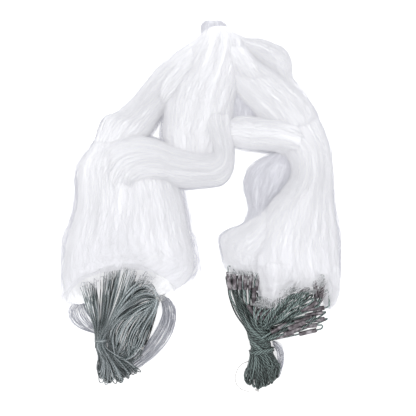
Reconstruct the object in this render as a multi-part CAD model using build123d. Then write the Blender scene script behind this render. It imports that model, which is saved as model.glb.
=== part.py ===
from build123d import *
import os
from math import cos, radians, sin, sqrt, tan

# A gathered fishing net, laid out flat: white netting folded over in an arch, with the
# hank of its plain headline at the end of one leg and the hank of its lead line, with the
# sinkers crimped on it, at the end of the other. Millimetres, +Z up from the table that
# the net lies on, +Y towards the crown of the arch, origin under the middle of its box.

# Overall
NET_LENGTH = 747.0          # crown to the end of the lead line's hank, along Y
NET_WIDTH = 556.0           # across both legs, along X
SOFT_GAP = 0.6              # between soft pieces that lie against each other
HINGE_GAP = 0.4             # round each knuckle, where two bodies turn on each other

# Netting heights above the table
LEG_HEIGHT = 60.0
BAND_HEIGHT = 50.0
CROWN_HEIGHT = 72.0
FOLD_HEIGHT = 80.0
LOW_FOLD_HEIGHT = 42.0
BUNCH_HEIGHT = 40.0
BUNCH_RADIUS = 13.0
SOFT_EDGE = 9.0             # how far the top edge of the netting steps in
SOFT_CORNER = 5.0           # rounding of an outline's corners
TWINE_CORNER = 3.0

# Hinges, all upright
CROWN_HINGE = (62.0, 306.0)
CROWN_KNUCKLE_RADIUS = 38.0
HEADLINE_HINGE = (-202.0, -298.0)
HEADLINE_KNUCKLE_RADIUS = 11.0
LEAD_HINGE = (122.0, -307.0)
LEAD_KNUCKLE_RADIUS = 20.0

# Hanks
HEADLINE_FAN_HEIGHT = 26.0
HEADLINE_NECK_HEIGHT = 20.0
HEADLINE_NECK_WIDTH = 20.0
LEAD_FAN_HEIGHT = 22.0
LEAD_NECK_HEIGHT = 24.0
LEAD_NECK_WIDTH = 38.0
HANK_EDGE = 5.0
TWINE_HEIGHT = 9.0
TWINE_EDGE = 2.0

# Ties round the hanks' necks
TIE_THICKNESS = 2.4
TIE_WIDTH = 8.0
TIE_CLEARANCE = 0.3
TIE_OFFSET = 6.0            # from the knuckle to the tie, along the neck

# Lead line and its sinkers
LEAD_LINE_DIAMETER = 3.4
BORE_CLEARANCE = 0.1        # radial, between the lead line and a sinker's bore
SINKER_DIAMETER = 9.0
SINKER_LENGTH = 36.0
SINKER_EDGE = 0.8
SEAM_WIDTH = 0.7            # the slit that closes when a sinker is crimped on
STUB_LENGTH = 2.0           # lead line that shows past each end of a sinker
SINKER_GAP = 0.4            # between sinkers, and under the lowest layer
DROP_STEP = 0.1             # how finely a sinker is lowered onto the others

# Loose thread beside the lead line's tail
THREAD_DIAMETER = 1.2

TOP = NET_LENGTH / 2
SIDE = NET_WIDTH / 2

# Outlines seen from above, each a ring of corners that gets rounded.
OUTER_BAND = [
    (-24, 318), (-62, 294), (-98, 254), (-120, 224), (-146, 198), (-168, 182),
    (-190, 176), (-198, 160), (-204, 138), (-118, 130), (-91, 164), (-84, 190), (-46, 270),
]
CROWN = [
    (-30, 314), (-8, 333), (6, TOP - 21.5), (40, TOP - 17.5), (62, 340), (61, 110), (-60, 120),
    (-74, 158), (-74, 172), (-82, 186), (-44, 268),
]
MIDDLE_FOLD = [
    (-150, 143), (-88, 143), (-60, 138), (-16, 128), (24, 112), (64, 106), (58, 77), (46, 53),
    (14, 40), (-42, 38), (-98, 77), (-128, 107),
]
HEADLINE_LEG = [
    (-204, 150), (-208, 118), (-224, 103), (-241, 82), (-246, 64), (-243, 30), (-249, -8),
    (-259, -34), (-270, -66), (-274, -98), (-SIDE, -130), (-SIDE, -176), (-268, -196),
    (-246, -190), (-194, -160), (-134, -160), (-84, -162), (-50, -169), (-20, -136),
    (-13, -112), (-14, -98), (-26, -53), (-36, -8), (-45, 42), (-80, 90), (-120, 140),
]
BACK_FOLD = [
    (98, 335), (130, 327), (158, 315), (176, 301), (182, 279), (182, 259), (160, 250),
    (128, 262), (108, 292),
]
BACK_BAND = [
    (64, 264), (98, 284), (120, 300), (150, 280), (184, 262), (190, 240), (190, 176),
    (64, 176),
]
PILLOW_FOLD = [
    (50, 118), (50, 164), (62, 178), (100, 183), (138, 179), (146, 150), (142, 112),
    (104, 109), (64, 110),
]
INNER_FOLD = [
    (92, 92), (108, 103), (144, 103), (147, 30), (140, 0), (112, -1), (98, 16), (92, 50),
]
SIDE_FOLD = [
    (99, -24), (88, -40), (76, -49), (52, -55), (41, -64), (40, -76), (44, -88), (42, -114),
    (46, -134), (99, -134),
]
LEAD_LEG = [
    (180, 262), (198, 239), (222, 201), (238, 165), (252, 135), (258, 109), (262, 75),
    (262, -7), (264, -29), (272, -53), (276, -99), (SIDE, -130), (SIDE, -178), (264, -198),
    (250, -217), (250, -165), (90, -165), (101, -20), (104, -4), (148, 2),
    (148, 107), (142, 120), (136, 190),
]
HEADLINE_FAN = [
    (-244, -162), (-194, -139), (-164, -115), (-134, -131), (-84, -155), (-86, -196),
    (-104, -246), (-134, -288), (-160, -296), (-184, -276), (-216, -276), (-228, -246),
]
HEADLINE_TAIL = [
    (-216, -304), (-217, -325), (-204, -354), (-170, -366), (-138, -362), (-134, -346),
    (-150, -330), (-176, -312), (-188, -304),
]
TWINE_LEFT = [
    (-271, -205), (-271, -224), (-258, -248), (-240, -262), (-212, -262), (-212, -205),
]
TWINE_RIGHT = [
    (-84, -186), (-60, -194), (-47, -212), (-52, -240), (-74, -276), (-104, -312),
    (-118, -324), (-126, -314), (-126, -280), (-90, -230),
]
LEAD_FAN = [
    (48, -131), (130, -131), (138, -156), (200, -151), (226, -134), (251, -140), (253, -205),
    (238, -266), (205, -270), (170, -266), (150, -276), (94, -276), (84, -225), (72, -195),
    (50, -174),
]
LEAD_TAIL = [
    (96, -306), (97, -330), (87, 21.5 - TOP), (92, 7.5 - TOP), (104, -TOP), (128, -TOP),
    (142, 7.5 - TOP), (146, 21.5 - TOP), (142, -330), (148, -306),
]
LEAD_TWINE = [
    (156, -270), (168, -282), (173, -300), (169, -318), (159, -327), (156, -320), (160, -300),
    (152, -284),
]
# Centre and heading of each sinker, anticlockwise from +X.
SINKERS = [
    (56, -153, 95), (67, -153, 92), (78, -153, 90), (89, -153, 88), (100, -153, 84),
    (113, -155, 78), (104, -216, -55), (119, -214, -70), (134, -215, -85), (150, -210, 75),
    (166, -203, 60), (172, -176, 37), (198, -178, 35), (232, -183, 60), (239, -192, 60),
    (226, -220, 12), (230, -232, 8), (214, -243, 4), (214, -256, 13), (168, -262, 16),
    (156, -248, 30), (106, -184, 90), (148, -178, 95), (228, -168, 95), (241, -170, 80),
    (228, -208, 5), (204, -231, 16), (182, -252, 20), (190, -240, 22), (214, -203, 30),
]
THREAD_ROUTE = [
    (96.1, -318), (82, -324), (72, -338), (68, -354), (73, -369), (85, -378), (99, -381),
]


def outline(corners, rounding=SOFT_CORNER):
    """The face inside a ring of corners, each corner rounded."""
    face = make_face(Polyline(*corners, close=True))
    return fillet(face.vertices(), rounding)


def disc(centre, radius):
    return Pos(*centre) * Circle(radius)


def clear_of(face, *neighbours, gap=SOFT_GAP):
    """The face, with its neighbours and a gap round each cut away; the largest piece stays."""
    for neighbour in neighbours:
        face = face - offset(neighbour, amount=gap, kind=Kind.ARC)
    return face.faces().sort_by(SortBy.AREA)[-1]


def slab(face, height, edge):
    """A soft piece: the face raised from the table, its top edge stepped in twice as it rounds."""
    raised = extrude(face, amount=height - edge)
    for tier in (1, 2):
        inset = offset(face, amount=-edge * tier / 2, kind=Kind.ARC)
        raised += extrude(inset, amount=height - edge * (1 - tier / 2))
    return raised


def netting_pieces():
    """The folds and legs of netting, which lie against each other as one soft heap."""
    knuckle = disc(CROWN_HINGE, CROWN_KNUCKLE_RADIUS)
    socket = disc(CROWN_HINGE, CROWN_KNUCKLE_RADIUS + HINGE_GAP)
    bunch = disc((26, TOP - BUNCH_RADIUS), BUNCH_RADIUS)
    headline_fan = outline(HEADLINE_FAN)
    lead_fan = outline(LEAD_FAN)
    middle = outline(MIDDLE_FOLD)
    pillow = outline(PILLOW_FOLD)
    crown = clear_of(outline(CROWN), middle, bunch, pillow)
    crown = (crown + clear_of(knuckle, bunch)).faces()[0]
    band = clear_of(outline(OUTER_BAND), crown, middle)
    leg = clear_of(outline(HEADLINE_LEG), middle, band, headline_fan)
    back = clear_of(outline(BACK_FOLD), socket, gap=0)
    inner = outline(INNER_FOLD)
    back_band = clear_of(outline(BACK_BAND), socket, back, pillow)
    side = clear_of(outline(SIDE_FOLD), lead_fan)
    lead_leg = clear_of(outline(LEAD_LEG), pillow, back_band, inner, side, lead_fan)
    return {
        "netting_crown": slab(crown, CROWN_HEIGHT, SOFT_EDGE),
        "netting_crown_bunch": slab(bunch, BUNCH_HEIGHT, BUNCH_RADIUS / 2),
        "netting_outer_band": slab(band, BAND_HEIGHT, SOFT_EDGE / 2),
        "netting_middle_fold": slab(middle, FOLD_HEIGHT, SOFT_EDGE),
        "netting_headline_leg": slab(leg, LEG_HEIGHT, SOFT_EDGE / 2),
        "netting_back_fold": slab(back, CROWN_HEIGHT, SOFT_EDGE),
        "netting_back_band": slab(back_band, BAND_HEIGHT, SOFT_EDGE / 3),
        "netting_pillow_fold": slab(pillow, FOLD_HEIGHT, SOFT_EDGE),
        "netting_inner_fold": slab(inner, LOW_FOLD_HEIGHT, SOFT_EDGE),
        "netting_side_fold": slab(side, BAND_HEIGHT, SOFT_EDGE),
        "netting_lead_leg": slab(lead_leg, LEG_HEIGHT, SOFT_EDGE / 2),
    }


def knuckled_fan(corners, height, hinge, knuckle_radius, neck_width, neck_height):
    """A hank's spread end, narrowing to a neck and to the knuckle that its tail turns on."""
    fan = slab(outline(corners), height, HANK_EDGE)
    lift = TIE_THICKNESS + TIE_CLEARANCE
    neck_end = fan.bounding_box().min.Y
    low = hinge[1] + 0.3 * knuckle_radius
    high = hinge[1] + knuckle_radius + TIE_WIDTH + 3 * TIE_OFFSET
    neck = Pos(hinge[0], (low + high) / 2, (lift + neck_height) / 2) * Box(
        neck_width, high - low, neck_height - lift
    )
    knuckle = Pos(*hinge) * Cylinder(
        knuckle_radius, neck_height, align=(Align.CENTER, Align.CENTER, Align.MIN)
    )
    return fan + neck + knuckle


def tie(hinge, knuckle_radius, neck_width, neck_height):
    """The lashing round a hank's neck, as one band."""
    inner_width = neck_width + 2 * TIE_CLEARANCE
    inner_height = neck_height - TIE_THICKNESS
    outer = Box(inner_width + 2 * TIE_THICKNESS, TIE_WIDTH, inner_height + 2 * TIE_THICKNESS)
    outer = fillet(outer.edges().filter_by(Axis.Y), TIE_THICKNESS)
    band = outer - Box(inner_width, TIE_WIDTH, inner_height)
    along = hinge[1] + knuckle_radius + TIE_WIDTH / 2 + SOFT_GAP
    return Pos(hinge[0], along, inner_height / 2 + TIE_THICKNESS) * band


def knuckled_tail(corners, height, hinge, knuckle_radius):
    """A hank's end loops, hollowed to turn round the knuckle on its neck."""
    face = clear_of(outline(corners), disc(hinge, knuckle_radius), gap=HINGE_GAP)
    return slab(face, height, HANK_EDGE / 2)


def sinker_heights():
    """How high each sinker's axis lies: as low as it drops onto the hank and those before it."""
    bed = LEAD_FAN_HEIGHT + SINKER_GAP + SINKER_DIAMETER / 2
    placed = []
    for x, y, heading in SINKERS:
        rod = Rot(0, 0, heading) * Rot(0, 90, 0) * Cylinder(SINKER_DIAMETER / 2, SINKER_LENGTH)
        rod = Pos(x, y, bed) * rod
        centre = Vector(x, y)
        near = [
            other for other in placed
            if (centre - Vector(other.center().X, other.center().Y)).length < 2 * SINKER_LENGTH
        ]
        low, high = 0, 0
        if any(rod.distance_to(other) < SINKER_GAP for other in near):
            high = max(other.center().Z for other in near) + SINKER_DIAMETER + SINKER_GAP - bed
        while high - low > DROP_STEP:
            lift = (low + high) / 2
            if any((Pos(0, 0, lift) * rod).distance_to(other) < SINKER_GAP for other in near):
                low = lift
            else:
                high = lift
        placed.append(Pos(0, 0, high) * rod)
    return [rod.center().Z for rod in placed]


def sinker(roll):
    """A lead tube, lying along X, bored for the lead line and slit down one side."""
    bore = LEAD_LINE_DIAMETER / 2 + BORE_CLEARANCE
    body = Rot(0, 90, 0) * Cylinder(SINKER_DIAMETER / 2, SINKER_LENGTH)
    body = fillet(body.edges().filter_by(GeomType.CIRCLE), SINKER_EDGE)
    body -= Rot(0, 90, 0) * Cylinder(bore, SINKER_LENGTH)
    upward = (Align.CENTER, Align.CENTER, Align.MIN)
    slit = Box(SINKER_LENGTH, SEAM_WIDTH, SINKER_DIAMETER, align=upward)
    return Rot(roll, 0, 0) * (body - slit)


def sinkers():
    """The sinkers, laid over the lead line's hank, and the lead line inside them."""
    pieces = {}
    cores = []
    for number, ((x, y, heading), height) in enumerate(zip(SINKERS, sinker_heights()), 1):
        place = Pos(x, y, height) * Rot(0, 0, heading)
        pieces[f"sinker_{number:02d}"] = place * sinker(roll=40 * number)
        core = Cylinder(LEAD_LINE_DIAMETER / 2, SINKER_LENGTH + 2 * STUB_LENGTH)
        cores.append(place * Rot(0, 90, 0) * core)
    pieces["lead_line_in_sinkers"] = Compound(children=cores)
    return pieces


def thread():
    """The loose thread: straight runs joined by tangent arcs, resting on the table."""
    height = THREAD_DIAMETER / 2
    points = [Vector(x, y, height) for x, y in THREAD_ROUTE]
    runs = [b - a for a, b in zip(points, points[1:])]
    radii = []
    for before, after in zip(runs, runs[1:]):
        shorter = min(before.length, after.length)
        radii.append(0.45 * shorter / tan(radians(before.get_angle(after)) / 2))
    print("thread radii, mm:", [round(radius, 1) for radius in radii])
    path = FilletPolyline(*points, radius=radii)
    section = Plane(path @ 0, z_dir=path % 0) * Circle(height)
    tube = sweep(section, path=path)
    print("thread volume over section times length:", tube.volume / (section.area * path.length))
    return tube


def hank_pieces():
    """Both ropes' hanks, their ties, and the bundles of thin twine beside them."""
    fan = outline(HEADLINE_FAN)
    leg = clear_of(outline(HEADLINE_LEG), fan)
    left = clear_of(outline(TWINE_LEFT, TWINE_CORNER), fan)
    right = clear_of(outline(TWINE_RIGHT, TWINE_CORNER), fan, leg)
    lead = clear_of(outline(LEAD_TWINE, TWINE_CORNER), outline(LEAD_FAN))
    headline = (HEADLINE_HINGE, HEADLINE_KNUCKLE_RADIUS)
    lead_line = (LEAD_HINGE, LEAD_KNUCKLE_RADIUS)
    headline_neck = (HEADLINE_NECK_WIDTH, HEADLINE_NECK_HEIGHT)
    lead_neck = (LEAD_NECK_WIDTH, LEAD_NECK_HEIGHT)
    return {
        "headline_hank_fan": knuckled_fan(
            HEADLINE_FAN, HEADLINE_FAN_HEIGHT, *headline, *headline_neck
        ),
        "headline_tie": tie(*headline, *headline_neck),
        "headline_hank_tail": knuckled_tail(HEADLINE_TAIL, HEADLINE_NECK_HEIGHT, *headline),
        "headline_twine_left": slab(left, TWINE_HEIGHT, TWINE_EDGE),
        "headline_twine_right": slab(right, TWINE_HEIGHT, TWINE_EDGE),
        "lead_line_hank_fan": knuckled_fan(LEAD_FAN, LEAD_FAN_HEIGHT, *lead_line, *lead_neck),
        "lead_line_tie": tie(*lead_line, *lead_neck),
        "lead_line_hank_tail": knuckled_tail(LEAD_TAIL, LEAD_NECK_HEIGHT, *lead_line),
        "lead_line_twine": slab(lead, TWINE_HEIGHT, TWINE_EDGE),
    }


os.makedirs("parts", exist_ok=True)
everything = {**netting_pieces(), **hank_pieces(), **sinkers(), "loose_thread": thread()}
for name, piece in everything.items():
    export_step(piece, f"parts/{name}.step")
solids = [solid for piece in everything.values() for solid in piece.solids()]
box = Compound(children=solids).bounding_box()
print("box, mm:", box.min, box.max)
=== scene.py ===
# A gathered fishing net laid out flat, seen from straight above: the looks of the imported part.
# Metres, in the part's own frame: +Y to the crown of the arch, +Z up from the table.
import math

import bmesh
import bpy
import numpy as np
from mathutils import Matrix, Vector


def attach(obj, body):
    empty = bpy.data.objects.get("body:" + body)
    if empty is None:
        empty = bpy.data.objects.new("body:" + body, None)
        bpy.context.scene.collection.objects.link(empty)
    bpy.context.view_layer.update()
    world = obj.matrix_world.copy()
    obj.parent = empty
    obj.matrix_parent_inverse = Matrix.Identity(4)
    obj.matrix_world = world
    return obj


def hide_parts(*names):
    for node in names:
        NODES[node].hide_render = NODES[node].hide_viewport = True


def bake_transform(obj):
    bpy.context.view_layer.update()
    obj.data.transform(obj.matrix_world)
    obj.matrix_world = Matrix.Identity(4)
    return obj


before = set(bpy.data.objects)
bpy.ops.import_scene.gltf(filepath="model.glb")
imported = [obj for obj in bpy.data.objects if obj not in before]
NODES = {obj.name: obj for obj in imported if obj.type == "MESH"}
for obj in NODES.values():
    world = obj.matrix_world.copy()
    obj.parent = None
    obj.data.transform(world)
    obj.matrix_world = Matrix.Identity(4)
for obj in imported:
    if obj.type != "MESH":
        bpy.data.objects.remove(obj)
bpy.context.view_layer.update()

SEED = 7
ROUND = 6.28                # a random phase is drawn up to this
FLOOR_CLEAR = 0.0006        # netting and lines stay this far off the table
REACH = 0.284               # no filament stands out further to the left or right

HEADLINE_DIAMETER = 0.0020
LEAD_LINE_DIAMETER = 0.0034
TWINE_DIAMETER = 0.0011
MESH_TWINE_DIAMETER = 0.0008
THREAD_DIAMETER = 0.0012
STRAND_RADIUS = 0.0002
FRINGE_RADIUS = 0.00018

# How many sides each kind of tube has
ROPE_SIDES = 8
HEADLINE_SIDES = 6
TWINE_SIDES = 5
KNOT_SIDES = 6
TANGLE_SIDES = 4
STRAND_SIDES = 3

# How much the netting and its filaments glow: painted light, standing in for the light that passes
# through them
NETTING_PAINTED_GLOW = 0.21
FILAMENT_PAINTED_GLOW = 0.16


# ---- materials

class Nodes:
    """A material's node tree, with short ways to add and join its nodes."""

    def __init__(self, name):
        self.material = bpy.data.materials.new(name)
        self.material.use_nodes = True
        self.tree = self.material.node_tree
        self.shader = self.tree.nodes["Principled BSDF"]

    def add(self, kind, operation=None):
        node = self.tree.nodes.new(kind)
        if operation:
            node.operation = operation
        return node

    def link(self, source, target):
        self.tree.links.new(source, target)

    def coordinates(self, scale, kind="UV"):
        """UV runs across and along each strand or fold; Object is in metres."""
        place = self.add("ShaderNodeTexCoord")
        mapping = self.add("ShaderNodeMapping")
        mapping.inputs["Scale"].default_value = scale
        self.link(place.outputs[kind], mapping.inputs["Vector"])
        return mapping.outputs["Vector"]

    def parts(self, kind="UV"):
        """The same coordinates, unscaled, as X, Y and Z."""
        place = self.add("ShaderNodeTexCoord")
        node = self.add("ShaderNodeSeparateXYZ")
        self.link(place.outputs[kind], node.inputs["Vector"])
        return node.outputs

    def noise(self, scale, kind="UV", detail=4.0, rough=0.55):
        node = self.add("ShaderNodeTexNoise")
        node.inputs["Scale"].default_value = 1.0
        node.inputs["Detail"].default_value = detail
        node.inputs["Roughness"].default_value = rough
        self.link(self.coordinates(scale, kind), node.inputs["Vector"])
        return node.outputs["Fac"]

    def ramp(self, fac, stops):
        node = self.add("ShaderNodeValToRGB")
        elements = node.color_ramp.elements
        while len(elements) < len(stops):
            elements.new(0.5)
        for element, (place, colour) in zip(elements, stops):
            element.position = place
            element.color = (*colour, 1.0)
        self.link(fac, node.inputs["Fac"])
        return node.outputs["Color"]

    def math(self, operation, *values):
        node = self.add("ShaderNodeMath", operation)
        for socket, value in zip(node.inputs, values):
            if isinstance(value, (int, float)):
                socket.default_value = value
            else:
                self.link(value, socket)
        return node.outputs[0]

    def spread(self, value, low, high, first, last):
        """The value from low to high, laid over first to last."""
        node = self.add("ShaderNodeMapRange")
        ends = {"From Min": low, "From Max": high, "To Min": first, "To Max": last}
        for key, end in ends.items():
            node.inputs[key].default_value = end
        self.link(value, node.inputs["Value"])
        return node.outputs["Result"]

    def scaled(self, colour, factor):
        node = self.add("ShaderNodeVectorMath", "MULTIPLY")
        self.link(colour, node.inputs[0])
        self.link(factor, node.inputs[1])
        return node.outputs["Vector"]

    def meshes(self):
        """Two sets of fine lines crossing in long diamonds, as the pulled meshes of a net do."""
        parts = self.parts()
        across = self.math("MULTIPLY", parts["X"], 420.0)
        along = self.math("MULTIPLY", parts["Y"], 130.0)
        one = self.math("SINE", self.math("ADD", across, along))
        other = self.math("SINE", self.math("SUBTRACT", across, along))
        return self.math("MAXIMUM", one, other)

    def bump(self, height, strength, distance):
        node = self.add("ShaderNodeBump")
        node.inputs["Strength"].default_value = strength
        node.inputs["Distance"].default_value = distance
        self.link(height, node.inputs["Height"])
        self.link(node.outputs["Normal"], self.shader.inputs["Normal"])

    def coat(self, colour, texture, vary, base, painted_glow=0.0):
        """Colour, a roughness that varies with a texture, and a glow of the same colour: painted
        light, as if the surface gave light.
        """
        rough = self.math("ADD", self.math("MULTIPLY", texture, vary), base)
        self.link(colour, self.shader.inputs["Base Color"])
        self.link(rough, self.shader.inputs["Roughness"])
        if painted_glow:
            self.link(colour, self.shader.inputs["Emission Color"])
            self.set(Emission_Strength=painted_glow)

    def set(self, **values):
        for key, value in values.items():
            self.shader.inputs[key.replace("_", " ")].default_value = value


def netting_material(name, dull, clear):
    """Fine white mesh, heaped: silky streaks along the lay, duller towards the hanks, darker in
    soft random clouds, which are painted shade meant for hollows, and darker at the thin sides of a
    fold, which is painted shade on the sides that light reaches less."""
    n = Nodes(name)
    streaks = n.noise((60.0, 1.3, 1.0), detail=7.0, rough=0.66)
    broad = n.noise((9.0, 0.9, 1.0), detail=3.0)
    mixed = n.math("ADD", n.math("MULTIPLY", streaks, 0.6), n.math("MULTIPLY", broad, 0.4))
    streaked = n.ramp(mixed, [(0.36, (0.86,) * 3), (0.47, (0.95,) * 3), (0.58, (1.0,) * 3)])
    # painted shade: soft random darker clouds that stand in for hollows
    shade_clouds = n.noise((7.0, 7.0, 7.0), kind="Object", detail=2.0)
    rise = n.spread(n.parts("Object")["Y"], -0.13, 0.06, 0.0, 1.0)
    rise = n.math("ADD", rise, n.math("MULTIPLY", n.math("SUBTRACT", shade_clouds, 0.5), 1.6))
    colour = n.ramp(rise, [(0.0, dull), (0.85, clear)])
    # painted shade: darker towards both sides of the fold's upper side, where it is also thin
    off_middle = n.math("SUBTRACT", n.math("MULTIPLY", n.parts()["X"], 4.0), 1.0)
    side_shade = n.spread(n.math("ABSOLUTE", off_middle), 0.66, 0.98, 1.0, 0.85)
    colour = n.scaled(n.scaled(colour, streaked), side_shade)
    # painted light: the netting glows in its own colour
    n.coat(colour, streaks, 0.3, 0.42, NETTING_PAINTED_GLOW)
    n.bump(n.math("ADD", streaks, n.math("MULTIPLY", n.meshes(), 0.12)), 0.3, 0.003)
    n.set(Sheen_Weight=0.3, Sheen_Roughness=0.4, Subsurface_Weight=0.35, Subsurface_Scale=0.02)
    n.shader.inputs["Subsurface Radius"].default_value = (1.0, 1.0, 1.0)
    return n.material


def strand_material(name, tint):
    """Single filaments of clear white nylon, each a little lighter or darker along its run."""
    n = Nodes(name)
    fleck = n.noise((1.0, 3.0, 1.0), detail=3.0)
    colour = n.ramp(fleck, [(0.3, tuple(0.86 * c for c in tint)), (0.6, tint)])
    # painted light: the filaments glow in their own colour
    n.coat(colour, fleck, 0.2, 0.28, FILAMENT_PAINTED_GLOW)
    n.bump(fleck, 0.2, 0.0004)
    n.set(Specular_IOR_Level=0.6)
    return n.material


def rope_material(name, dark, mid, light, twist, painted_depth_shade=None):
    """Laid rope: strands winding round it, paler on their crowns, dark where they meet: painted
    highlight and painted shade, over a random tone along each strand.
    The last argument is (low, high, share): painted shade, the rope darkening to that share from
    height high down to low, under the turns above it."""
    n = Nodes(name)
    parts = n.parts()
    turn = n.math("MULTIPLY", parts["Y"], twist)
    wound = n.math("ADD", n.math("MULTIPLY", parts["X"], 3.0), turn)
    wave = n.math("SINE", n.math("MULTIPLY", wound, 2 * math.pi))
    lay = n.math("ADD", n.math("MULTIPLY", wave, 0.5), 0.5)
    drift = n.noise((0.8, 30.0, 1.0), detail=4.0)
    strand = n.noise((0.2, 7.0, 1.0), detail=2.0)
    mixed = n.math("ADD", n.math("MULTIPLY", lay, 0.18), n.math("MULTIPLY", drift, 0.27))
    mixed = n.math("ADD", mixed, n.math("MULTIPLY", strand, 0.55))
    # the pale stop is partly painted highlight on the strands' crowns, the dark stop partly painted
    # shade where they meet
    colour = n.ramp(mixed, [(0.44, dark), (0.505, mid), (0.572, light)])
    # painted shade: the rope darker lower down, beneath the turns above
    if painted_depth_shade:
        low, high, share = painted_depth_shade
        colour = n.scaled(colour, n.spread(n.parts("Object")["Z"], low, high, share, 1.0))
    n.coat(colour, drift, 0.25, 0.3)
    n.bump(lay, 0.5, 0.0006)
    n.set(Sheen_Weight=0.15, Specular_IOR_Level=0.55)
    return n.material


def lead_material():
    """Dull lead: mauve-grey oxide, brighter in random patches, partly where it has rubbed and
    partly as painted highlight, with small dents.
    """
    n = Nodes("dull_lead")
    patches = n.noise((90.0, 90.0, 90.0), kind="Object", detail=6.0, rough=0.6)
    dents = n.noise((420.0, 420.0, 420.0), kind="Object", detail=4.0)
    oxide, dull, rubbed_and_highlight = (0.07, 0.058, 0.064), (0.17, 0.148, 0.160), (0.46, 0.43, 0.45)
    # the brightest stop is partly rubbed lead and partly painted highlight
    colour = n.ramp(patches, [(0.36, oxide), (0.50, dull), (0.64, rubbed_and_highlight)])
    n.coat(colour, patches, 0.35, 0.28)
    n.bump(dents, 0.35, 0.0006)
    n.set(Metallic=0.55)
    return n.material


# ---- geometry

def new_mesh(name, points, faces, uvs, material):
    """A mesh object from points (n, 3), quads (m, 4) and one uv for each quad's corner."""
    mesh = bpy.data.meshes.new(name)
    mesh.vertices.add(len(points))
    mesh.vertices.foreach_set("co", np.asarray(points, float).ravel())
    mesh.loops.add(faces.size)
    mesh.loops.foreach_set("vertex_index", faces.ravel().astype(np.int32))
    mesh.polygons.add(len(faces))
    mesh.polygons.foreach_set("loop_start", np.arange(0, faces.size, 4, dtype=np.int32))
    mesh.update(calc_edges=True)
    mesh.uv_layers.new(name="UVMap")
    mesh.uv_layers[0].data.foreach_set("uv", np.asarray(uvs, float).ravel())
    mesh.polygons.foreach_set("use_smooth", np.full(len(faces), True))
    mesh.validate()
    mesh.materials.append(material)
    piece = bpy.data.objects.new(name, mesh)
    bpy.context.scene.collection.objects.link(piece)
    return piece


def skin(index, along):
    """Quads over rings of points, index (..., rings, sides), and their UVs, along (..., rings)."""
    sides = index.shape[-1]
    a, b = index[..., :-1, :], index[..., 1:, :]
    quads = np.stack([a, np.roll(a, -1, axis=-1), np.roll(b, -1, axis=-1), b], axis=-1)
    u0 = np.broadcast_to(np.arange(sides) / sides, a.shape)
    u1 = u0 + 1 / sides
    v0 = np.broadcast_to(along[..., :-1, None], a.shape)
    v1 = np.broadcast_to(along[..., 1:, None], a.shape)
    return quads.reshape(-1, 4), np.stack([u0, v0, u1, v0, u1, v1, u0, v1], axis=-1)


def frames_along(lines):
    """Two unit vectors across each line at each point, carried along it without twist."""
    tangents = np.gradient(lines, axis=1)
    tangents /= np.linalg.norm(tangents, axis=2, keepdims=True) + 1e-12
    across = np.empty_like(lines)
    start = np.cross(tangents[:, 0], (0.0, 0.0, 1.0))
    flat = np.linalg.norm(start, axis=1) < 1e-4
    start[flat] = (1.0, 0.0, 0.0)
    across[:, 0] = start / np.linalg.norm(start, axis=1, keepdims=True)
    for k in range(1, lines.shape[1]):
        carried = across[:, k - 1]
        off = np.sum(carried * tangents[:, k], axis=1, keepdims=True)
        carried = carried - tangents[:, k] * off
        across[:, k] = carried / (np.linalg.norm(carried, axis=1, keepdims=True) + 1e-12)
    return across, np.cross(tangents, across)


def tubes(name, lines, radius, sides, material):
    """Tubes of one radius, or one for each point, round lines of points (lines, n, 3)."""
    lines = np.asarray(lines, float)
    count, length, _ = lines.shape
    radius = np.broadcast_to(np.asarray(radius, float), (count, length))
    across, over = frames_along(lines)
    angles = np.arange(sides) * 2 * np.pi / sides
    ring = (
        across[:, :, None] * np.cos(angles)[None, None, :, None]
        + over[:, :, None] * np.sin(angles)[None, None, :, None]
    )
    points = lines[:, :, None] + ring * radius[:, :, None, None]
    index = np.arange(count * length * sides).reshape(count, length, sides)
    steps = np.linalg.norm(np.diff(lines, axis=1), axis=2)
    along = np.concatenate([np.zeros((count, 1)), np.cumsum(steps, axis=1)], axis=1)
    piece = new_mesh(name, points.reshape(-1, 3), *skin(index, along), material)
    close_ends(piece, index[:, [0, -1]].reshape(-1, sides))
    return piece


def close_ends(piece, faces):
    """Adds the faces that close a piece's ends, each a list of its corners."""
    shape = bmesh.new()
    shape.from_mesh(piece.data)
    shape.verts.ensure_lookup_table()
    for corners in faces:
        shape.faces.new([shape.verts[i] for i in corners])
    bmesh.ops.recalc_face_normals(shape, faces=shape.faces)
    shape.to_mesh(piece.data)
    shape.free()


def nurbs_line(points, resolution=3):
    """The smooth line of a rope's route: one open NURBS spline, read back as its points."""
    curve = bpy.data.curves.new("route", "CURVE")
    curve.dimensions = "3D"
    curve.resolution_u = resolution
    spline = curve.splines.new("NURBS")
    spline.points.add(len(points) - 1)
    flat = np.concatenate([np.asarray(points, float), np.ones((len(points), 1))], axis=1)
    spline.points.foreach_set("co", flat.ravel())
    spline.order_u = 3
    spline.use_endpoint_u = True
    holder = bpy.data.objects.new("route", curve)
    mesh = bpy.data.meshes.new_from_object(holder)
    line = np.array([v.co for v in mesh.vertices], float)
    bpy.data.meshes.remove(mesh)
    bpy.data.objects.remove(holder)
    bpy.data.curves.remove(curve)
    steps = np.linalg.norm(np.diff(line, axis=0), axis=1)
    return line[np.concatenate([[True], steps > 1e-6])]


def along_line(line):
    """How far along it each of a line's points is."""
    steps = np.linalg.norm(np.diff(line, axis=0), axis=1)
    return np.concatenate([[0], np.cumsum(steps)])


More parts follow.
